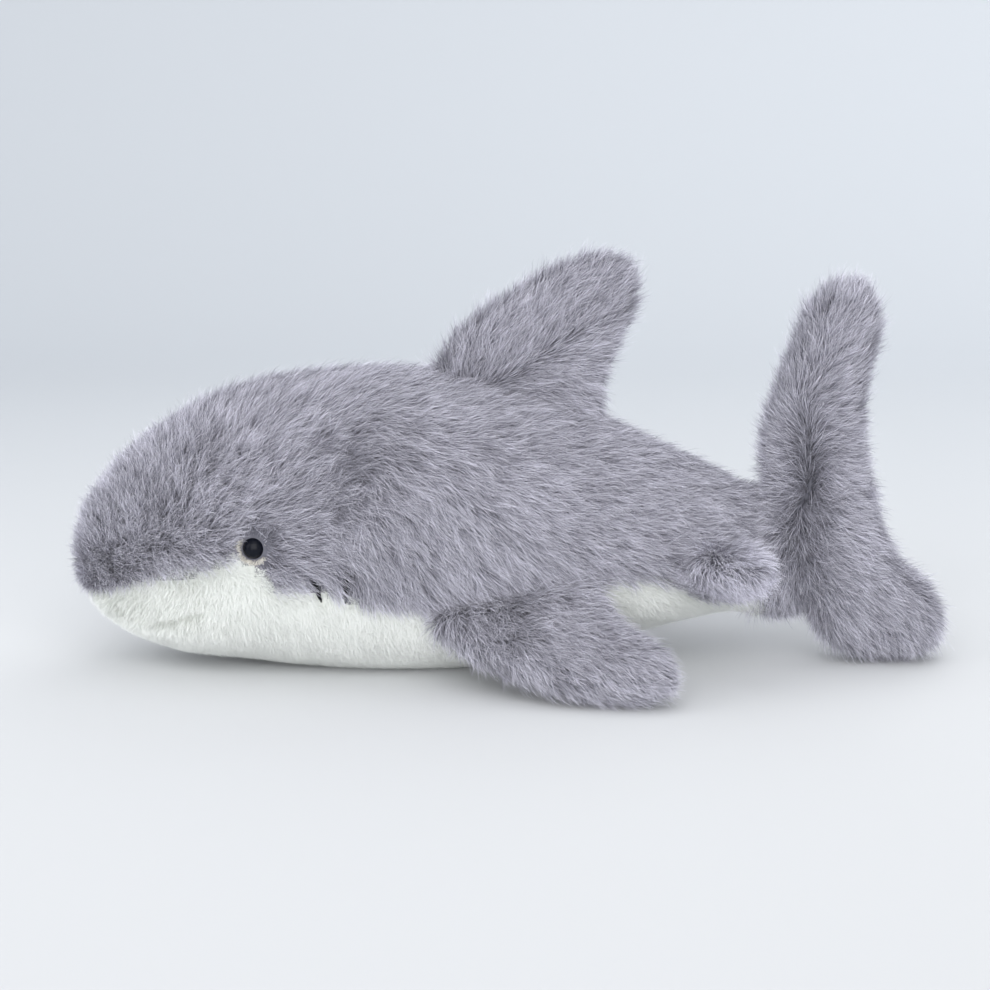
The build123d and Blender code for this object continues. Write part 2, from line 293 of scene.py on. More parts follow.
def trunk_surface():
    """Rings of points from the nose to inside the caudal fin, and how far each is inside the white panels."""
    tree = node_tree(TRUNK_NODES)
    white = node_tree(SEAM_WHITE)
    grey = node_tree(SEAM_GREY)
    round_angles = np.arange(ROUND_SEGMENTS) / ROUND_SEGMENTS * 2 * math.pi
    front = nose_x + NOSE_CENTRE

    def middle(x):
        top = outer_hit(tree, Vector((x, OFF_SEAM, TRUNK_Z)), Vector((0, 0, 1)))
        low = outer_hit(tree, Vector((x, OFF_SEAM, TRUNK_Z)), Vector((0, 0, -1)))
        return TRUNK_Z + (top - low) / 2

    straight = np.arange(front, STEM_START, RING_PITCH)
    heights = np.array([middle(x) for x in straight])
    heights = np.convolve(np.pad(heights, 4, mode="edge"), np.ones(9) / 9, mode="valid")
    tilts = np.linspace(0, math.pi / 2, NOSE_RINGS, endpoint=False)[1:]
    rings = [(front, heights[0], tilt) for tilt in tilts]
    rings += [(x, z, math.pi / 2) for x, z in zip(straight, heights)]
    reach = np.zeros((len(rings), ROUND_SEGMENTS))
    ways = np.zeros((len(rings), ROUND_SEGMENTS, 3))
    for i, (x, z, tilt) in enumerate(rings):
        for j, angle in enumerate(round_angles):
            out = math.sin(tilt)
            way = Vector((-math.cos(tilt), -out * math.sin(angle), out * math.cos(angle)))
            reach[i, j] = outer_hit(tree, Vector((x, 0, z)), way)
            ways[i, j] = way
    reach = blurred(closed(reach, 4, 4), 2)
    centres = np.array([(x, 0, z) for x, z, _ in rings])
    points = centres[:, None, :] + ways * reach[:, :, None]
    x, z = points[:, :, 0], points[:, :, 2]
    points[:, :, 1] *= 1 - TAIL_SQUEEZE * smooth(STEM_START - 30 * MM, STEM_START, x)
    points[:, :, 2] += CHIN_LIFT * np.exp(-(((x - CHIN_X) / CHIN_REACH) ** 2)) * (1 - smooth(0, CHIN_TOP, z))

    stem_rings = int(STEM_LENGTH / RING_PITCH)
    last, last_centre = points[-1], centres[-1]
    stem = []
    for k in range(1, stem_rings + 1):
        shrink = 1 - STEM_THIN * smooth(0, stem_rings, k + 1)
        ring = last_centre + (last - last_centre) * [1, shrink, 1 - (1 - shrink) * 0.35]
        stem.append(ring + [k * RING_PITCH, 0, 0])
    points = np.concatenate([points, np.array(stem)])

    whiteness = np.zeros(points.shape[:2])
    for i in range(len(points)):
        row = points[min(i, len(rings) - 1)]
        for j, point in enumerate(row):
            p = Vector(point)
            whiteness[i, j] = grey.find_nearest(p)[3] - white.find_nearest(p)[3]
    whiteness -= EYE_DIP * np.exp(-(((points[:, :, 0] - EYE_DIP_X) / EYE_DIP_REACH) ** 2))
    cap = reach[0].mean() * (1 - math.cos(math.pi / 2 / NOSE_RINGS))
    nose = points[0].mean(axis=0) + [-cap, 0, 0]
    return points, whiteness, nose


def tube_faces(rings, around):
    """The faces between rings of vertices, each ring following the last."""
    faces = []
    for start in range(0, (rings - 1) * around, around):
        for j in range(around):
            beside = (j + 1) % around
            faces.append((start + j, start + beside, start + around + beside, start + around + j))
    return faces


def ring_object(name, points, whiteness, nose=None):
    """A tube through rings of points, in the grey and the white backing."""
    rings, around = points.shape[:2]
    verts = [tuple(p) for p in points.reshape(-1, 3)]
    faces = tube_faces(rings, around)
    if nose is not None:
        verts.append(tuple(nose))
        faces += [(len(verts) - 1, (j + 1) % around, j) for j in range(around)]
    else:
        verts.append(tuple(points[-1].mean(axis=0)))
        end = (rings - 1) * around
        faces += [(len(verts) - 1, end + j, end + (j + 1) % around) for j in range(around)]
    made = new_object(name, verts, faces)
    made.data.materials.append(GREY_BACKING)
    made.data.materials.append(WHITE_BACKING)
    end_ring = whiteness[0] if nose is not None else whiteness[-1]
    flat = np.append(whiteness.reshape(-1), end_ring.mean())
    stored = made.data.attributes.new("whiteness", "FLOAT", "POINT")
    stored.data.foreach_set("value", flat.astype(np.float32))
    for poly in made.data.polygons:
        poly.material_index = int(sum(flat[i] for i in poly.vertices) > 0)
    return made


trunk_points, trunk_white, nose_point = trunk_surface()
trunk_points[:, :, 2] = np.maximum(trunk_points[:, :, 2], FLOOR_CLEAR)

tail_joint = next(j for j in frame["joints"] if j["name"] == "tail_sway")
caudal_joint = next(j for j in frame["joints"] if j["name"] == "caudal_fin_sway")
TAIL_AXIS_X = tail_joint["pos_m"][0]
CAUDAL_AXIS_X = caudal_joint["pos_m"][0]
TAIL_BEND = (TAIL_AXIS_X - 32 * MM, TAIL_AXIS_X + 28 * MM)
CAUDAL_BEND = (CAUDAL_AXIS_X - 22 * MM, CAUDAL_AXIS_X + 14 * MM)
SPLIT_X = (TAIL_BEND[1] + CAUDAL_BEND[0]) / 2

split_ring = int(np.argmin(np.abs(trunk_points[:, 0, 0] - SPLIT_X)))
trunk = ring_object("trunk_fabric", trunk_points[: split_ring + 1], trunk_white[: split_ring + 1], nose_point)
stem = ring_object("tail_root_fabric", trunk_points[split_ring:], trunk_white[split_ring:])

# ---------------------------------------------------------------- fin fabric

FIN_VOXEL = 2.6 * MM
SWELL_FRAMES = 20
SWELL_PRESSURE = 4.0


def joined_copy(name, nodes):
    """One new object from several CAD nodes."""
    verts, faces = node_mesh(nodes)
    return new_object(name, verts, faces)


def swollen(made, cap):
    """The mesh puffed by cloth pressure, with no point moved farther than cap."""
    scene = bpy.context.scene
    rest = np.array([v.co for v in made.data.vertices])
    modifier = made.modifiers.new("swell", "CLOTH")
    modifier.settings.use_pressure = True
    modifier.settings.uniform_pressure_force = SWELL_PRESSURE
    modifier.settings.effector_weights.gravity = 0
    for number in range(1, SWELL_FRAMES + 1):
        scene.frame_set(number)
    evaluated = made.evaluated_get(bpy.context.evaluated_depsgraph_get())
    moved = np.array([v.co for v in evaluated.data.vertices]) - rest
    made.modifiers.remove(modifier)
    scene.frame_set(1)
    length = np.linalg.norm(moved, axis=1, keepdims=True)
    moved *= np.minimum(1, cap / np.maximum(length, 1e-9))
    made.data.vertices.foreach_set("co", (rest + moved).astype(np.float32).ravel())
    made.data.update()


def apply_modifiers(made):
    """Every modifier made part of the mesh."""
    evaluated = made.evaluated_get(bpy.context.evaluated_depsgraph_get())
    data = bpy.data.meshes.new_from_object(evaluated)
    made.modifiers.clear()
    old = made.data
    made.data = data
    bpy.data.meshes.remove(old)


def padded_fin(name, nodes, cap, voxel=FIN_VOXEL):
    """A fin's fabric as one closed padded form."""
    made = joined_copy(name, nodes)
    remesh = made.modifiers.new("remesh", "REMESH")
    remesh.mode = "VOXEL"
    remesh.voxel_size = voxel
    relax = made.modifiers.new("relax", "SMOOTH")
    relax.factor = 0.5
    relax.iterations = 6
    apply_modifiers(made)
    swollen(made, cap)
    finer = made.modifiers.new("finer", "SUBSURF")
    finer.levels = finer.render_levels = 1
    apply_modifiers(made)
    made.data.shade_smooth()
    made.data.materials.append(GREY_BACKING)
    return made


def mirrored(made, name):
    """The mirror image across the plane of symmetry."""
    data = made.data.copy()
    data.transform(((1, 0, 0, 0), (0, -1, 0, 0), (0, 0, 1, 0), (0, 0, 0, 1)))
    data.flip_normals()
    twin = bpy.data.objects.new(name, data)
    bpy.context.scene.collection.objects.link(twin)
    return twin


def fin_nodes(fin):
    """A fin's panel and fill nodes."""
    if fin in ("dorsal_fin", "caudal_fin"):
        return [f"{fin}_panel_left", f"{fin}_panel_right", f"{fin}_stuffing"]
    kind, side = fin.rsplit("_", 1)
    return [f"{kind}_top_panel_{side}", f"{kind}_bottom_panel_{side}", f"{kind}_stuffing_{side}"]


dorsal = padded_fin("dorsal_fin_fabric", fin_nodes("dorsal_fin"), 2.5 * MM)
caudal = padded_fin("caudal_fin_fabric", fin_nodes("caudal_fin"), 2.5 * MM)
pectoral_left = padded_fin("pectoral_fin_fabric_left", fin_nodes("pectoral_fin_left"), 2.5 * MM)
pelvic_left = padded_fin("pelvic_fin_fabric_left", fin_nodes("pelvic_fin_left"), 1.5 * MM, 1.6 * MM)
fabric_of = {
    "dorsal_fin": dorsal,
    "caudal_fin": caudal,
    "pectoral_fin_left": pectoral_left,
    "pectoral_fin_right": mirrored(pectoral_left, "pectoral_fin_fabric_right"),
    "pelvic_fin_left": pelvic_left,
    "pelvic_fin_right": mirrored(pelvic_left, "pelvic_fin_fabric_right"),
}


# ---------------------------------------------------------------- growing the pile


class Skin:
    """A fabric mesh that strands can be rooted on."""

    def __init__(self, made):
        data = made.data
        data.calc_loop_triangles()
        self.verts = np.zeros(len(data.vertices) * 3)
        data.vertices.foreach_get("co", self.verts)
        self.verts = self.verts.reshape(-1, 3)
        self.normals = np.array([v.normal for v in data.vertices])
        self.tris = np.zeros(len(data.loop_triangles) * 3, int)
        data.loop_triangles.foreach_get("vertices", self.tris)
        self.tris = self.tris.reshape(-1, 3)
        a, b, c = (self.verts[self.tris[:, k]] for k in range(3))
        self.areas = np.linalg.norm(np.cross(b - a, c - a), axis=1) / 2
        self.white = np.full(len(self.verts), -1.0)
        if "whiteness" in data.attributes:
            data.attributes["whiteness"].data.foreach_get("value", self.white)

    def sample(self, per_mm2, random):
        """Roots spread evenly over the fabric: points, normals and whiteness."""
        count = int(self.areas.sum() / MM**2 * per_mm2)
        picked = random.choice(len(self.areas), count, p=self.areas / self.areas.sum())
        u, v = random.random((2, count))
        fold = u + v > 1
        u, v = np.where(fold, 1 - u, u), np.where(fold, 1 - v, v)
        shares = np.stack([1 - u - v, u, v], axis=1)[:, :, None]
        corner = self.tris[picked]
        points = (self.verts[corner] * shares).sum(axis=1)
        normals = unit((self.normals[corner] * shares).sum(axis=1))
        white = (self.white[corner] * shares[:, :, 0]).sum(axis=1)
        return points, normals, white


def nearest_index(points, centres):
    """For each point, which centre is nearest."""
    tree = KDTree(len(centres))
    for i, centre in enumerate(centres):
        tree.insert(centre, i)
    tree.balance()
    return np.array([tree.find(p)[1] for p in points])


STRAND_STOPS = np.array([0, 0.4, 0.75, 1.0])
STRAND_WIDTHS = np.array([1.0, 0.85, 0.5])


def strand_mesh(name, roots, knees, tips, widths, turn, tone, pile):
    """One mesh of tapered ribbons, each bent from its root over its knee to its tip."""
    count = len(roots)
    t = STRAND_STOPS[None, :, None]
    line = (1 - t) ** 2 * roots[:, None] + 2 * t * (1 - t) * knees[:, None] + t**2 * tips[:, None]
    line[:, :, 2] = np.maximum(line[:, :, 2], FLOOR_CLEAR)
    along = unit(tips - roots)
    across = unit(np.cross(along, turn))
    half = across[:, None] * (widths[:, None, None] * STRAND_WIDTHS[None, :, None] / 2)
    verts = np.concatenate([line[:, :3] - half, line[:, :3] + half, line[:, 3:]], axis=1)
    # the seven vertices of a strand: three left, three right, tip
    quads = np.array([[0, 3, 4, 1], [1, 4, 5, 2]])
    tip = np.array([2, 5, 6])
    base = np.arange(count)[:, None] * 7
    loops = np.concatenate([base + quads[0], base + quads[1], base + tip], axis=1).ravel()
    totals = np.tile([4, 4, 3], count)
    starts = np.concatenate([[0], np.cumsum(totals)[:-1]])
    data = bpy.data.meshes.new(name)
    data.vertices.add(count * 7)
    data.vertices.foreach_set("co", verts.astype(np.float32).ravel())
    data.loops.add(len(loops))
    data.loops.foreach_set("vertex_index", loops.astype(np.int32))
    data.polygons.add(count * 3)
    data.polygons.foreach_set("loop_start", starts.astype(np.int32))
    data.update(calc_edges=True)
    layer = data.uv_layers.new(name=UV_NAME)
    level = np.array([0, STRAND_STOPS[1], STRAND_STOPS[2]])
    v_of = np.concatenate([level, level, [1.0]]) * 0.98 + 0.01
    u_side = np.array([-1, -1, -1, 1, 1, 1, 0]) * 0.004
    u = np.clip(tone, 0.01, 0.99)[:, None] + u_side[None, :]
    uv = np.stack([u, np.broadcast_to(v_of, u.shape)], axis=2).reshape(-1, 2)
    layer.data.foreach_set("uv", uv[loops].astype(np.float32).ravel())
    data.materials.append(pile)
    data.shade_smooth()
    made = bpy.data.objects.new(name, data)
    bpy.context.scene.collection.objects.link(made)
    return made


class Coat:
    """How a pile grows: density per square millimetre, sizes in metres, lift as a share of the length."""

    def __init__(self, density, length, lift, width, tuft, cling, stray, twist, tone, tone_spread):
        self.density = density
        self.length = length
        self.lift = lift
        self.width = width
        self.tuft = tuft
        self.cling = cling
        self.stray = stray
        self.twist = twist
        self.tone = tone
        self.tone_spread = tone_spread


class Groom:
    """What a place on the shark changes in its coat, as one value for each root."""

    def __init__(self, count):
        self.length = np.ones(count)
        self.lift = np.ones(count)
        self.stray = np.ones(count)
        self.tone = np.zeros(count)
        self.away = np.zeros((count, 3))  # added to the way that the strand is combed
        self.keep = np.ones(count, bool)


def grown(skin, coat, flow, groomed, seed):
    """Strands on a skin: roots, knees, tips, widths, turns and tones."""
    random = np.random.default_rng(seed)
    roots, normals, white = skin.sample(coat.density, random)
    groom = Groom(len(roots))
    groomed(groom, roots, normals, white)
    roots, normals = roots[groom.keep], normals[groom.keep]
    for name in ("length", "lift", "stray", "tone", "away"):
        setattr(groom, name, getattr(groom, name)[groom.keep])
    count = len(roots)
    way = flow(roots, normals)
    way = unit(way - dot(way, normals) * normals) + groom.away
    way = unit(way - dot(way, normals) * normals)
    side = np.cross(normals, way)
    length = coat.length * groom.length * random.uniform(0.7, 1.12, count)

    # strands lean into the middle of the tuft that they stand in
    area = len(roots) / (coat.density / MM**2)
    tufts = random.choice(count, max(int(area / coat.tuft**2), 8), replace=False)
    centres = roots[tufts]
    near = nearest_index(roots, centres)
    tuft_turn = random.normal(0, 0.5 * coat.cling, len(centres))[near]
    tuft_lift = 1 + coat.cling * random.uniform(-0.6, 0.65, len(centres))[near]
    tuft_tone = random.normal(0, 0.5, len(centres))[near]
    wave = lattice_noise(roots, 9 * MM, seed + 1)[:, 0] * 0.35 * groom.stray
    angle = (tuft_turn + random.normal(0, coat.stray, count)) * groom.stray + wave
    way = way * np.cos(angle)[:, None] + side * np.sin(angle)[:, None]
    lift = coat.lift * groom.lift * tuft_lift * random.uniform(0.6, 1.35, count)
    lift = np.clip(lift, 0.05, 0.95)
    level = np.sqrt(1 - (lift * 0.9) ** 2)
    tips = roots + length[:, None] * (way * (level * 0.92)[:, None] + normals * lift[:, None])
    lean = centres[near] - roots
    lean -= dot(lean, normals) * normals
    gather = (coat.cling * random.uniform(0.5, 1.0, count))[:, None]
    tips += lean * gather
    knees = roots + length[:, None] * (normals * (lift * 0.75 + 0.12)[:, None] + way * 0.28)
    knees += lean * gather * 0.25
    widths = coat.width * random.uniform(0.7, 1.25, count)
    turn = unit(normals + random.normal(0, coat.twist, (count, 3)))
    patch = lattice_noise(roots, 22 * MM, seed + 2)[:, 0]
    mottle = lattice_noise(roots, 6 * MM, seed + 3)[:, 0] * (groom.stray - 0.7)
    own_tone = random.normal(0, 1, count)
    tone = coat.tone + groom.tone + patch * 0.12 + mottle * 0.24 + coat.tone_spread * (tuft_tone + own_tone)
    clear = np.ones(count, bool)  # no strand crosses an eye or a gill line
    for along in (knees, (roots + knees) / 2, (knees + tips) / 2, tips):
        for centre in eye_centres:
            clear &= np.linalg.norm((along - centre) * [1, EYE_SIGHT, 1], axis=1) > EYE_RADIUS * EYE_CLEAR
        for low_end, high_end in gill_paths:
            gap = to_line(along, low_end, high_end)[1]
            clear &= np.linalg.norm(gap * [1, GILL_SIGHT, 1], axis=1) > GILL_CLEAR
    strands = (roots - normals * 0.4 * MM, knees, tips, widths, turn, tone)
    return [part[clear] for part in strands]


def strand_pieces(names, strands, pile):
    """Strands cut along X into one piece per name."""
    order = np.argsort(strands[0][:, 0], kind="stable")
    made = []
    for name, part in zip(names, np.array_split(order, len(names))):
        made.append(strand_mesh(name, *[values[part] for values in strands], pile))
        print(name, len(part), "strands")
    return made


def up_and_back(normals):
    """On the fabric at each normal: the way towards the tail and the way up."""
    back = np.array([1.0, 0, 0]) - normals[:, :1] * normals
    back = unit(back)
    up = np.cross(normals, back)
    up *= np.where(up[:, 2:] < 0, -1, 1)
    return back, up


# ---------------------------------------------------------------- trunk pile

# How the trunk's pile is combed, seen from the side: x and z in millimetres, then degrees above the tail
# direction. The head is parted in front of the eye, and the flank has a crest behind it.
COMB = [
    (-166, 58, 85), (-152, 84, 88), (-136, 100, 74), (-116, 96, 52), (-98, 90, 32), (-96, 106, 40),
    (-72, 116, 26), (-42, 129, 20), (-122, 80, 52), (-142, 72, 62), (-104, 74, 38), (-122, 54, -38),
    (-146, 48, -30), (-100, 56, -36), (-86, 80, 26), (-72, 72, 18), (-60, 68, 2), (-50, 77, 18),
    (-62, 52, -35), (-46, 60, -45), (-34, 55, -62), (-18, 50, -60), (-50, 100, 26), (-44, 114, 28),
    (-56, 88, 24), (-24, 114, -28), (-22, 96, -46), (-28, 78, -54), (-6, 106, -30), (2, 124, 0),
    (6, 85, -50), (22, 75, -48), (14, 60, -54), (32, 95, -35), (0, 66, -54), (52, 85, -22),
    (76, 75, -14), (50, 65, -32), (90, 90, -10), (60, 105, -4), (44, 118, 12), (76, 110, 8),
    (22, 130, 12), (110, 70, -10), (130, 75, -6), (152, 65, -5), (110, 90, -8), (140, 50, -12),
    (-120, 20, -50), (-80, 20, -30), (-30, 15, -35), (30, 15, -25), (90, 30, -15),
]
COMB_REACH = 11.0  # how far each of these spreads


def trunk_flow(points, normals):
    """How the trunk's pile lies: the average of the marks on the comb near each point."""
    x, z, degrees = np.array(COMB, float).T
    gaps = (points[:, [0]] / MM - x) ** 2 + (points[:, [2]] / MM - z) ** 2
    weights = np.exp(-gaps / (2 * COMB_REACH**2)) + 1e-6 / (1 + gaps)
    a = np.radians(degrees)
    back, up = up_and_back(normals)
    return back * (weights @ np.cos(a))[:, None] + up * (weights @ np.sin(a))[:, None]


def box_middle(name):
    """The middle of a CAD node's box."""
    low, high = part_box(name)
    return np.array((low + high) / 2)


EYE_RADIUS = 5.2 * MM
EYE_PROUD = 3.5 * MM  # how far each dome stands out from its rim
EYE_CLEAR, EYE_SIGHT = 1.08, 0.45  # in radii; and how far in front of an eye pile counts as over it
eye_centres = []
for side, outward in (("left", -1), ("right", 1)):
    low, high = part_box(f"eye_{side}")
    rim_y = (low.y if outward < 0 else high.y) - outward * EYE_PROUD
    middle = box_middle(f"eye_{side}")
    eye_centres.append(np.array([low.x + EYE_RADIUS, rim_y, middle[2]]))


def thread_paths(name):
    """Each thread of a CAD node as a straight line between its two far ends."""
    data = frame["nodes"][name].data
    corners = np.array([v.co for v in data.vertices])
    places, same = np.unique(np.round(corners / MM, 2), axis=0, return_inverse=True)
    places = places * MM
    island = np.arange(len(places))
    ends = same.ravel()[np.array([e.vertices[:] for e in data.edges])]
    while True:
        lowest = np.minimum(island[ends[:, 0]], island[ends[:, 1]])
        merged = island.copy()
        np.minimum.at(merged, ends[:, 0], lowest)
        np.minimum.at(merged, ends[:, 1], lowest)
        if (merged == island).all():
            break
        island = merged
    paths = []
    for label in np.unique(island):
        part = places[island == label]
        top, low = part[:, 2].max(), part[:, 2].min()
        paths.append((part[part[:, 2] < low + MM].mean(axis=0), part[part[:, 2] > top - MM].mean(axis=0)))
    return paths


def to_line(points, start, end):
    """How far points are from a line, and the way from the line to each."""
    along = end - start
    share = np.clip(dot(points - start, along) / (along @ along), 0, 1)
    away = points - (start + share * along)
    return np.linalg.norm(away, axis=1), away


gill_paths = thread_paths("gill_stitches_left") + thread_paths("gill_stitches_right")
GILL_CLEAR, GILL_SIGHT = 1.3 * MM, 0.2  # the same for a gill line, in metres
MOUTH_FRONT = (-127 * MM, 29 * MM)  # the mouth's line on each cheek, as x and z
MOUTH_CORNER = (-104 * MM, 37 * MM)


CREST = np.array([-38, 98]) * MM  # x and z of the middle of the crest on each flank
CREST_REACH = np.array([16, 24]) * MM


def groom_head(groom, points):
    """Pile trimmed round the eyes and the gill lines, and standing up on the head and the crest; the crest is
    also darkened as painted shade.
    """
    crest = np.exp(-(((points[:, [0, 2]] - CREST) / CREST_REACH) ** 2).sum(axis=1))
    groom.lift *= 1 + 0.45 * crest
    groom.stray *= 1 + 0.8 * crest
    # painted shade: the crest's pile is darkened to stand in for the shadowed roots seen where it stands up
    groom.tone -= 0.20 * crest
    nose = 1 - smooth(nose_x + 5 * MM, nose_x + 60 * MM, points[:, 0])
    head = 1 - smooth(nose_x + 30 * MM, nose_x + 110 * MM, points[:, 0])
    groom.length *= 1 - 0.22 * nose - 0.10 * head
    groom.lift *= 1 + 0.55 * head
    groom.stray *= 1 + 0.9 * head
    groom.tone += 0.10 * nose - 0.04 * head
    for centre in eye_centres:
        gap = points - centre
        away = np.linalg.norm(gap, axis=1)
        groom.keep &= away > EYE_RADIUS * 0.9
        groom.length *= 0.2 + 0.8 * smooth(EYE_RADIUS * 1.2, EYE_RADIUS * 2.6, away)
        ring = 1 - smooth(EYE_RADIUS * 1.2, EYE_RADIUS * 2.6, away)
        groom.away += unit(gap) * (2.5 * ring)[:, None]
        groom.lift *= 1 - 0.5 * ring
        groom.tone -= 0.15 * ring
    for low_end, high_end in gill_paths:
        away, gap = to_line(points, low_end, high_end)
        close = 1 - smooth(1.2 * MM, 4.5 * MM, away)
        groom.length *= 1 - 0.75 * close
        groom.away += unit(gap) * (0.9 * close)[:, None]
        groom.tone -= 0.10 * close


def seam_rise(points):
    """How far the white pile reaches above its seam along the head."""
    x = points[:, 0] / MM
    return 3.0 * MM * smooth(-140, -118, x) * (1 - smooth(20, 50, x))


def groom_grey_trunk(groom, points, normals, white):
    """The grey coat of the body and tail."""
    inside = white + seam_rise(points)
    groom.keep &= inside < 0
    groom_head(groom, points)
    seam = 1 - smooth(0, 7 * MM, -inside)
    groom.length *= 1 - 0.3 * seam
    groom.tone += 0.12 * seam
    groom.length *= 1 - 0.35 * smooth(TAIL_END, STEM_START, points[:, 0])
    groom.tone -= 0.06 * smooth(-40 * MM, 0, points[:, 0])
    underneath = smooth(0.5, 0.9, -normals[:, 2])
    groom.lift *= 1 - 0.5 * underneath


def groom_white_trunk(groom, points, normals, white):
    """The short white coat of the belly, trimmed along the mouth and darkened there as a painted shadow for
    the mouth's crease.
    """
    inside = white + seam_rise(points)
    groom.keep &= inside > 0
    groom_head(groom, points)
    groom.away[:, 2] += 0.9 * (1 - smooth(0, 7 * MM, inside))
    underneath = smooth(0.5, 0.9, -normals[:, 2])
    groom.lift *= 1 - 0.6 * underneath
    away, _ = to_line(points[:, [0, 2]], np.array(MOUTH_FRONT), np.array(MOUTH_CORNER))
    close = 1 - smooth(0.3 * MM, 3.0 * MM, away)
    groom.length *= 1 - 0.7 * close
    # painted shadow: the pile along the mouth's line is darkened to stand in for the shade in its crease
    groom.tone -= 0.8 * close


UNDER_COAT = Coat(
    density=2.0, length=9.5 * MM, lift=0.50, width=0.28 * MM, tuft=1.5 * MM, cling=0.5,
    stray=0.30, twist=0.5, tone=0.28, tone_spread=0.14,
)
GUARD_COAT = Coat(
    density=1.7, length=16 * MM, lift=0.36, width=0.18 * MM, tuft=2.0 * MM, cling=0.5,
    stray=0.17, twist=0.6, tone=0.58, tone_spread=0.22,
)
WHITE_COAT = Coat(
    density=6.5, length=7.0 * MM, lift=0.50, width=0.15 * MM, tuft=2.5 * MM, cling=0.15,
    stray=0.5, twist=0.06, tone=0.5, tone_spread=0.05,
)
TRIMMED_COAT = Coat(
    density=9.0, length=2.6 * MM, lift=0.75, width=0.26 * MM, tuft=1.0 * MM, cling=0.4,
    stray=0.6, twist=0.5, tone=0.5, tone_spread=0.25,
)

trunk_skin, stem_skin = Skin(trunk), Skin(stem)
GREY_TRUNK_NAMES = ["nose_pile", "head_pile", "shoulder_pile", "flank_pile", "hip_pile", "tail_pile"]
WHITE_TRUNK_NAMES = [
    "chin_pile", "jaw_pile", "throat_pile", "chest_pile", "belly_pile", "lower_belly_pile", "tail_belly_pile",
]
under_strands = grown(trunk_skin, UNDER_COAT, trunk_flow, groom_grey_trunk, 11)
guard_strands = grown(trunk_skin, GUARD_COAT, trunk_flow, groom_grey_trunk, 12)
white_strands = grown(trunk_skin, WHITE_COAT, trunk_flow, groom_white_trunk, 13)
trunk_pieces = strand_pieces([f"{name}_under" for name in GREY_TRUNK_NAMES], under_strands, GREY_PILE)
trunk_pieces += strand_pieces([f"{name}_guard" for name in GREY_TRUNK_NAMES], guard_strands, GREY_PILE)
trunk_pieces += strand_pieces(WHITE_TRUNK_NAMES, white_strands, WHITE_PILE)


def eye_flow(points, normals):
    """Away from the nearer eye."""
    gaps = np.array([points - centre for centre in eye_centres])
    nearer = np.argmin(np.linalg.norm(gaps, axis=2), axis=0)
    return unit(gaps[nearer, np.arange(len(points))])


def groom_eye_ring(groom, points, normals, white):
    """Pale stubble round each eye, thickest below it and in front of it."""
    ring = np.zeros(len(points), bool)
    for centre in eye_centres:
        gap = points - centre
        away = np.linalg.norm(gap, axis=1)
        below_or_ahead = np.clip(0.55 - (gap[:, 2] + gap[:, 0] * 0.7) / np.maximum(away, 1e-9), 0.12, 1)
        patchy = lattice_noise(points, 1.2 * MM, 71)[:, 0] * 0.5 + 0.5 < below_or_ahead
        ring |= (away > EYE_RADIUS * 1.0) & (away < EYE_RADIUS * 1.32) & patchy
    groom.keep &= ring


ring_strands = grown(trunk_skin, TRIMMED_COAT, eye_flow, groom_eye_ring, 17)
trunk_pieces += strand_pieces(["eye_ring_pile"], ring_strands, TRIMMED_PILE)


def groom_grey_stem(groom, points, normals, white):
    """The grey coat of the tail's root, which gets shorter where the caudal fin covers it."""
    groom.keep &= (white < 0) & (points[:, 0] < PILE_END)
    groom.length *= 1 - 0.55 * smooth(TAIL_END, STEM_START, points[:, 0])


def groom_white_stem(groom, points, normals, white):
    """The white coat under the tail's root."""
    groom.keep &= (white > 0) & (points[:, 0] < PILE_END)


stem_pieces = []
for name, coat, groomed, pile, seed in (
    ("tail_root_pile_under", UNDER_COAT, groom_grey_stem, GREY_PILE, 14),
    ("tail_root_pile_guard", GUARD_COAT, groom_grey_stem, GREY_PILE, 15),
    ("tail_root_white_pile", WHITE_COAT, groom_white_stem, WHITE_PILE, 16),
):
    stem_pieces += strand_pieces([name], grown(stem_skin, coat, trunk_flow, groomed, seed), pile)

# ---------------------------------------------------------------- fin pile

FIN_UNDER_COAT = Coat(
    density=2.2, length=9.5 * MM, lift=0.42, width=0.28 * MM, tuft=1.5 * MM, cling=0.5,
    stray=0.30, twist=0.5, tone=0.28, tone_spread=0.14,
)
FIN_GUARD_COAT = Coat(
    density=1.8, length=14.5 * MM, lift=0.34, width=0.18 * MM, tuft=2.0 * MM, cling=0.5,
    stray=0.19, twist=0.6, tone=0.58, tone_spread=0.22,
)


def fin_pile(name, fabric, flow, groomed, seed, zones=("",)):
    """The two coats of a fin, each cut into zones from front to back."""
    skin = Skin(fabric)
    made = []
    for kind, coat in enumerate((FIN_UNDER_COAT, FIN_GUARD_COAT)):
        names = [f"{name}_pile_{('under', 'guard')[kind]}{zone}" for zone in zones]
        made += strand_pieces(names, grown(skin, coat, flow, groomed, seed + kind), GREY_PILE)
    return made


def side_view(points, box):
    """Where points are between a box's corners, along X and along Z."""
    low, high = box
    return (points[:, 0] - low.x) / (high.x - low.x), (points[:, 2] - low.z) / (high.z - low.z)


def in_plane(angle_degrees):
    """A way in the plane of symmetry, in degrees above the tail direction."""
    a = np.radians(angle_degrees)
    return np.stack([np.cos(a), np.zeros_like(a), np.sin(a)], axis=1)


dorsal_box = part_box("dorsal_fin_panel_left")


def dorsal_crease(points):
    """How far above the dorsal fin's crease points are, as a share of the fin's height."""
    s, h = side_view(points, dorsal_box)
    return h - (0.26 + 0.62 * (s - 0.25))


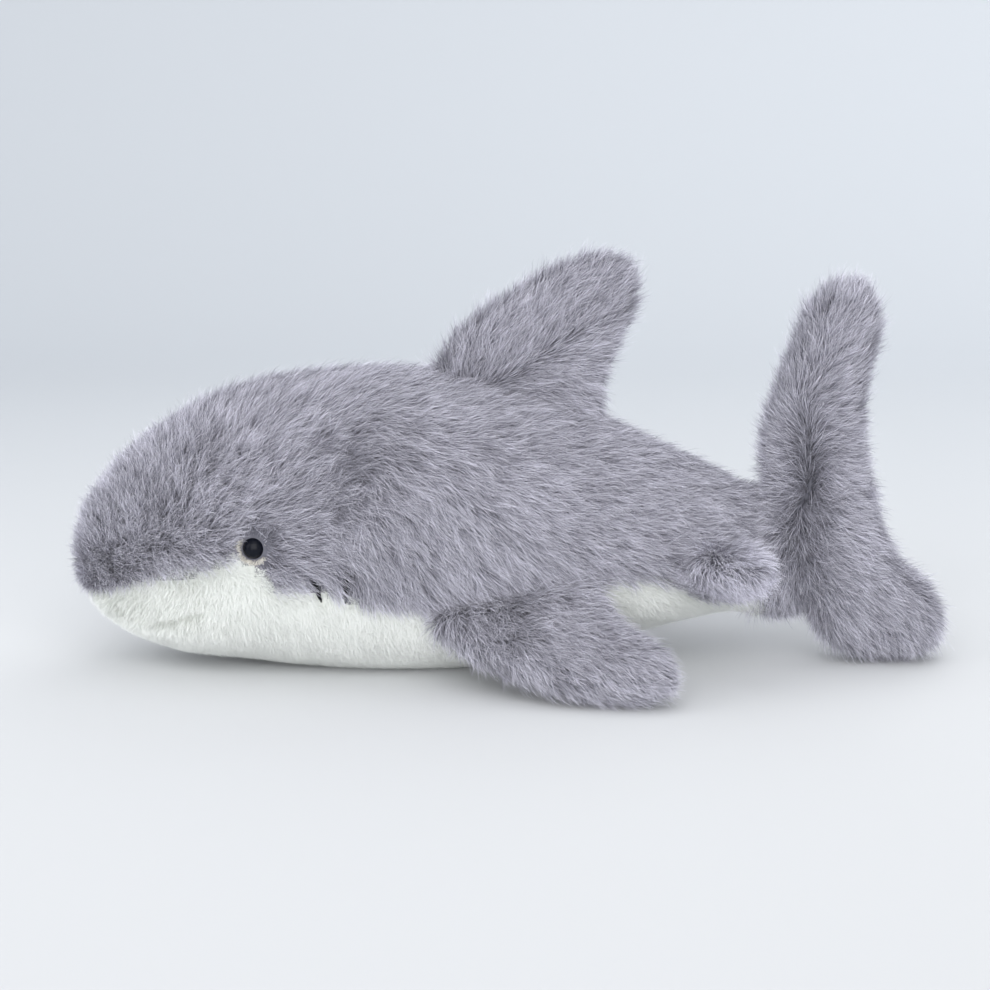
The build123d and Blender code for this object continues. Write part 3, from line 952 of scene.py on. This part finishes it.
def dorsal_flow(points, normals):
    """Up along the front of the fin, and level to drooping behind a crease."""
    s, h = side_view(points, dorsal_box)
    above = dorsal_crease(points)
    high = 78 - 30 * s - 10 * h
    low = 22 + 130 * np.clip(above, -0.6, 0)
    share = smooth(-0.04, 0.04, above)[:, None]
    return in_plane(high) * share + in_plane(low) * (1 - share)


def groom_edges(groom, normals):
    """Pile that stands out along a fin's rim."""
    rim = 1 - smooth(0.2, 0.75, np.abs(normals[:, 1]))
    groom.lift *= 1 + 0.75 * rim


def groom_dorsal(groom, points, normals, white):
    """A darker band along the root and a darker line along the crease, both painted shade: where the fin
    meets the back and where its pile folds.
    """
    s, h = side_view(points, dorsal_box)
    groom_edges(groom, normals)
    root = 1 - smooth(0.02, 0.16, h + 0.28 * s - 0.02)
    # painted shade where the fin meets the back
    groom.tone -= 0.22 * root
    # painted shade along the crease
    groom.tone -= 0.05 * (1 - smooth(0.0, 0.05, np.abs(dorsal_crease(points))))


PARTING_Z = np.array([8, 20, 60, 100, 130, 165, 180]) * MM
PARTING_X = np.array([192, 186, 178, 176, 178, 188, 193]) * MM


def caudal_parting(points):
    """How far behind the caudal fin's ragged parting points are."""
    ragged = lattice_noise(points, 11 * MM, 61)[:, 0] * 5 * MM
    return points[:, 0] - np.interp(points[:, 2], PARTING_Z, PARTING_X) + ragged


def caudal_flow(points, normals):
    """Parted along the middle: forwards in front, backwards behind, and down in the lower lobe."""
    z = points[:, 2] / MM
    behind = np.interp(z, [10, 30, 60, 90, 125, 150, 180], [-50, -45, -20, 0, 22, 52, 68])
    before = np.interp(z, [10, 30, 50, 70, 95, 125, 150, 180], [-60, -75, -110, -160, -195, -235, -262, -275])
    share = smooth(-8 * MM, 8 * MM, caudal_parting(points))[:, None]
    rim = 1 - smooth(0.2, 0.75, np.abs(normals[:, 1]))
    ruffled = lattice_noise(points, 10 * MM, 62, 3) * [0, 0.5, 0.5] * rim[:, None]
    return in_plane(behind) * share + in_plane(before) * (1 - share) + ruffled


def groom_caudal(groom, points, normals, white):
    """A dark parting, where the pile stands apart and its roots can be seen, darkened further as painted
    shade; the lower part is also a little darker towards the bottom.
    """
    groom_edges(groom, normals)
    parting = 1 - smooth(2 * MM, 17 * MM, np.abs(caudal_parting(points)))
    middle = smooth(25 * MM, 55 * MM, points[:, 2]) * (1 - smooth(75 * MM, 135 * MM, points[:, 2]))
    # painted shade: the parting is darkened as well as lifted, standing in for the shadow among the roots;
    # lower down the fin is a little darker towards the bottom
    groom.tone -= 0.36 * parting * middle + 0.06 * (1 - smooth(40 * MM, 70 * MM, points[:, 2]))
    groom.lift *= 1 + 0.6 * parting * middle
    groom.stray *= 1 + 1.2 * parting * middle


PAIRED_FIN_SWEEP = 0.2  # how much the paired fins' pile leans to the back


def paired_fin_flow(whorl):
    """Away from a whorl, and a little to the back."""

    def flow(points, normals):
        return unit(points - whorl) + np.array([PAIRED_FIN_SWEEP, 0, 0])

    return flow


def groom_pectoral(groom, points, normals, white):
    """Pile that stands up in a dark patch in front of the fin's middle."""
    s, h = side_view(points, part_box("pectoral_fin_top_panel_left"))
    patch = np.exp(-(((s - 0.30) / 0.16) ** 2) - ((h - 0.62) / 0.25) ** 2)
    groom.lift *= 1 + 0.5 * patch
    groom.stray *= 1 + 0.8 * patch
    groom.tone -= 0.16 * patch


def groom_pelvic(groom, points, normals, white):
    """A lighter, fluffier tuft."""
    groom.lift *= 1.35
    groom.tone += 0.34


pile_of = {
    "dorsal_fin": fin_pile("dorsal_fin", dorsal, dorsal_flow, groom_dorsal, 21),
    "caudal_fin": fin_pile("caudal_fin", caudal, caudal_flow, groom_caudal, 23, ("_front", "_rear")),
}
PAIRED_FINS = ("pectoral_fin_left", "pectoral_fin_right", "pelvic_fin_left", "pelvic_fin_right")
for number, fin in enumerate(PAIRED_FINS):
    low = np.min([v.co for v in fabric_of[fin].data.vertices], axis=0)
    high = np.max([v.co for v in fabric_of[fin].data.vertices], axis=0)
    inward = 1 if "left" in fin else -1
    root_y = high[1] if inward > 0 else low[1]
    if "pectoral" in fin:  # parted near the front of the root
        groomed = groom_pectoral
        whorl = np.array([low[0] + 8 * MM, root_y + inward * 12 * MM, high[2] + 2 * MM])
    else:  # all round the middle of the root
        groomed = groom_pelvic
        whorl = np.array([(low[0] + high[0]) / 2 - 3 * MM, root_y - inward * 4 * MM, high[2] - 1 * MM])
    pile_of[fin] = fin_pile(fin, fabric_of[fin], paired_fin_flow(whorl), groomed, 31 + 2 * number)

# ---------------------------------------------------------------- eyes and threads


def eye_material():
    """Moulded black plastic with a hard gloss and faint swirls of dust."""
    made, tree, shader = material("eye_gloss")
    place = tree.nodes.new("ShaderNodeTexCoord")
    dust = tree.nodes.new("ShaderNodeTexNoise")
    dust.inputs["Scale"].default_value = 500
    tree.links.new(place.outputs["Object"], dust.inputs["Vector"])
    colour = ramp(tree, dust.outputs["Fac"], [(0.3, (0.004, 0.005, 0.009)), (0.8, (0.007, 0.008, 0.013))])
    tree.links.new(colour, shader.inputs["Base Color"])
    shader.inputs["Roughness"].default_value = 0.2
    shader.inputs["Specular IOR Level"].default_value = 0.13
    return made


def thread_material(name, dark, light):
    """Twisted thread: lighter along each ply."""
    made, tree, shader = material(name)
    place = tree.nodes.new("ShaderNodeTexCoord")
    ply = tree.nodes.new("ShaderNodeTexWave")
    ply.bands_direction = "DIAGONAL"
    ply.inputs["Scale"].default_value = 900
    tree.links.new(place.outputs["Object"], ply.inputs["Vector"])
    tree.links.new(ramp(tree, ply.outputs["Fac"], [(0.2, dark), (0.9, light)]), shader.inputs["Base Color"])
    shader.inputs["Roughness"].default_value = 0.7
    shader.inputs["Specular IOR Level"].default_value = 0.15
    return made


GILL_STRANDS = 7  # threads in each gill line
GILL_THREAD = 0.5 * MM
GILL_PROUD = 3.2 * MM  # how far the threads stand over the fabric, on the pile that they hold down


def tube(points, radius, sides=8):
    """The vertices and faces of a round tube along points, with closed ends."""
    points = np.asarray(points)
    along = unit(np.gradient(points, axis=0))
    first = unit(np.cross(along, [0.3, 0.2, 0.9]))
    second = np.cross(along, first)
    turns = np.arange(sides) / sides * 2 * math.pi
    rings = points[:, None] + radius * (
        np.cos(turns)[None, :, None] * first[:, None] + np.sin(turns)[None, :, None] * second[:, None]
    )
    faces = tube_faces(len(points), sides)
    end = (len(points) - 1) * sides
    faces += [tuple(range(sides))[::-1], tuple(range(end, end + sides))]
    return rings.reshape(-1, 3), faces


def gill_threads(name, node):
    """Loose black threads over the pile, gathered at their low end."""
    random = np.random.default_rng(51)
    outward = np.array([0, -1 if "left" in node else 1, 0])
    verts, faces = [], []
    for low_end, high_end in thread_paths(node):
        for _ in range(GILL_STRANDS):
            t = np.linspace(-0.12, 1.12, 14)[:, None]
            spread = random.normal(0, 0.35 * MM, 3) * [1, 0.4, 0.6]
            bow = random.normal(0, 0.5 * MM)
            line = low_end + (high_end - low_end) * t
            line = line + spread * (0.35 + t) + np.array([bow, 0, 0]) * np.sin(math.pi * t)
            line = line + outward * (GILL_PROUD * np.sin(math.pi * np.clip(t, 0, 1)) ** 0.35 - 1.5 * MM)
            thread_verts, thread_faces = tube(line, GILL_THREAD * random.uniform(0.8, 1.2))
            faces += [[len(verts) + i for i in face] for face in thread_faces]
            verts += [tuple(v) for v in thread_verts]
    made = new_object(name, verts, faces)
    made.data.materials.append(BLACK_THREAD)
    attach(made, "body")
    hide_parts(node)


EYE_GLOSS = eye_material()
BLACK_THREAD = thread_material("black_thread", (0.004, 0.004, 0.005), (0.014, 0.014, 0.016))
WHITE_THREAD = thread_material("white_thread", (0.6, 0.6, 0.58), (0.8, 0.8, 0.78))
WASHER_PLASTIC = backing_material("washer_plastic", (0.66, 0.66, 0.64), (0.74, 0.74, 0.72))

for node, finish in (
    ("eye_left", EYE_GLOSS),
    ("eye_right", EYE_GLOSS),
    ("eye_washer_left", WASHER_PLASTIC),
    ("eye_washer_right", WASHER_PLASTIC),
    ("closing_stitches", WHITE_THREAD),
):
    frame["nodes"][node].data.materials.clear()
    frame["nodes"][node].data.materials.append(finish)

for side in ("left", "right"):
    gill_threads(f"gill_threads_{side}", f"gill_stitches_{side}")

# ---------------------------------------------------------------- bodies and stand-ins

for piece in [trunk, *trunk_pieces]:
    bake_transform(piece)
for piece in [stem, *stem_pieces]:
    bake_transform(piece)
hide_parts(*SEAM_WHITE, *SEAM_GREY, *TRUNK_FILL)

for fin, fabric in fabric_of.items():
    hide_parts(*fin_nodes(fin))
    for piece in [fabric, *pile_of[fin]]:
        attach(piece, fin)

# ---------------------------------------------------------------- stage, light and camera


def stage_material():
    """Pale card with the faintest unevenness, painted palest under the shark and darker towards the front and
    the back: painted light that evens out the lamps' falloff and lifts the shadow round the shark.
    """
    made, tree, shader = material("pale_card")
    place = tree.nodes.new("ShaderNodeTexCoord")
    split = tree.nodes.new("ShaderNodeSeparateXYZ")
    tree.links.new(place.outputs["Object"], split.inputs[0])
    depth = tree.nodes.new("ShaderNodeMapRange")
    depth.inputs["From Min"].default_value = -0.6
    depth.inputs["From Max"].default_value = 0.9
    tree.links.new(split.outputs[1], depth.inputs["Value"])
    # painted light: the card is paler round the shark, standing in for light that the lamps don't give there
    stops = [(0, (0.555, 0.56, 0.57)), (0.42, (0.66, 0.67, 0.68)), (1, (0.54, 0.565, 0.595))]
    painted_light_ramp = ramp(tree, depth.outputs[0], stops)
    cloud = tree.nodes.new("ShaderNodeTexNoise")
    cloud.inputs["Scale"].default_value = 0.6
    tree.links.new(place.outputs["Object"], cloud.inputs["Vector"])
    uneven = ramp(tree, cloud.outputs["Fac"], [(0.3, (0.985, 0.985, 0.985)), (0.7, (1, 1, 1))])
    tree.links.new(mixed(tree, 1.0, painted_light_ramp, uneven, "MULTIPLY"), shader.inputs["Base Color"])
    shader.inputs["Roughness"].default_value = 0.9
    return made


def sweep_backdrop():
    """A floor that curves up into a wall behind."""
    half_width, front, back, height, bend = 6.0, -7.0, 1.6, 4.0, 0.8
    turn = np.linspace(0, math.pi / 2, 24)
    curve = [(back - bend + bend * math.sin(a), bend - bend * math.cos(a)) for a in turn]
    profile = [(front, 0.0), *curve, (back, height)]
    verts = [(x, y, z) for y, z in profile for x in (-half_width, half_width)]
    faces = [(2 * i, 2 * i + 1, 2 * i + 3, 2 * i + 2) for i in range(len(profile) - 1)]
    made = new_object("backdrop", verts, faces)
    made.data.materials.append(stage_material())


def area_light(name, place, aim, size, power, colour=(1, 1, 1)):
    """A soft square light."""
    data = bpy.data.lights.new(name, "AREA")
    data.size = size
    data.energy = power
    data.color = colour
    lamp = bpy.data.objects.new(name, data)
    lamp.location = place
    lamp.rotation_euler = (Vector(aim) - Vector(place)).to_track_quat("-Z", "Y").to_euler()
    bpy.context.scene.collection.objects.link(lamp)


sweep_backdrop()
area_light("top_soft_box", (0.1, 0.1, 1.5), (0, 0, 0), 1.6, 5)
area_light("front_soft_box", (0.1, -2.0, 1.0), (0, 0, 0.05), 2.4, 50)
area_light("left_soft_box", (-1.6, -0.6, 0.9), (0, 0, 0.05), 1.4, 9)
area_light("back_soft_box", (0.8, 1.2, 1.0), (0, 0, 0.05), 1.4, 8)

world = bpy.data.worlds.new("studio")
world.use_nodes = True
world.node_tree.nodes["Background"].inputs[0].default_value = (0.92, 0.95, 1.0, 1)
world.node_tree.nodes["Background"].inputs[1].default_value = 0.72
bpy.context.scene.world = world
bpy.context.scene.view_settings.view_transform = "Standard"

CAMERA_LENS = 85
CAMERA_DISTANCE = 1.113
CAMERA_ELEVATION = math.radians(12.5)
camera_aim = Vector((0.031, 0, 0.081))
camera_data = bpy.data.cameras.new("camera")
camera_data.lens = CAMERA_LENS
camera = bpy.data.objects.new("camera", camera_data)
back = Vector((0, -math.cos(CAMERA_ELEVATION), math.sin(CAMERA_ELEVATION)))
camera.location = camera_aim + back * CAMERA_DISTANCE
camera.rotation_euler = (-back).to_track_quat("-Z", "Y").to_euler()
bpy.context.scene.collection.objects.link(camera)
bpy.context.scene.camera = camera
